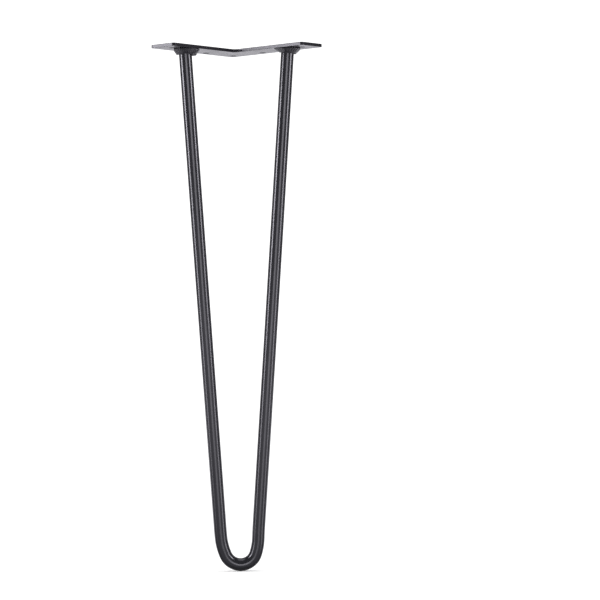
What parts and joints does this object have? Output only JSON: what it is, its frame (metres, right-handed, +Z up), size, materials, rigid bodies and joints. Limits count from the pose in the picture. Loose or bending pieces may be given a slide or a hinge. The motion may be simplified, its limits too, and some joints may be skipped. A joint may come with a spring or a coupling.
{
  "type": "hairpin table leg",
  "caption": "Bent steel bar furniture leg in a narrow leaning U shape, welded under an L-shaped screw plate, painted satin black.",
  "frame": {"origin": "centre of the corner screw hole, on the plate's top face", "axes": "+Z up, out of the face that bears on the table; +Y outward along the line that halves the plate's corner; X from one end of the bar to the other"},
  "size_m": [0.1306, 0.0872, 0.406],
  "materials": {
    "black_paint": "satin black paint over steel"
  },
  "bodies": {
    "root": {"mounting_plate": "black_paint", "hairpin_rod": "black_paint", "weld_bead_left": "black_paint", "weld_bead_right": "black_paint"}
  },
  "joints": []
}
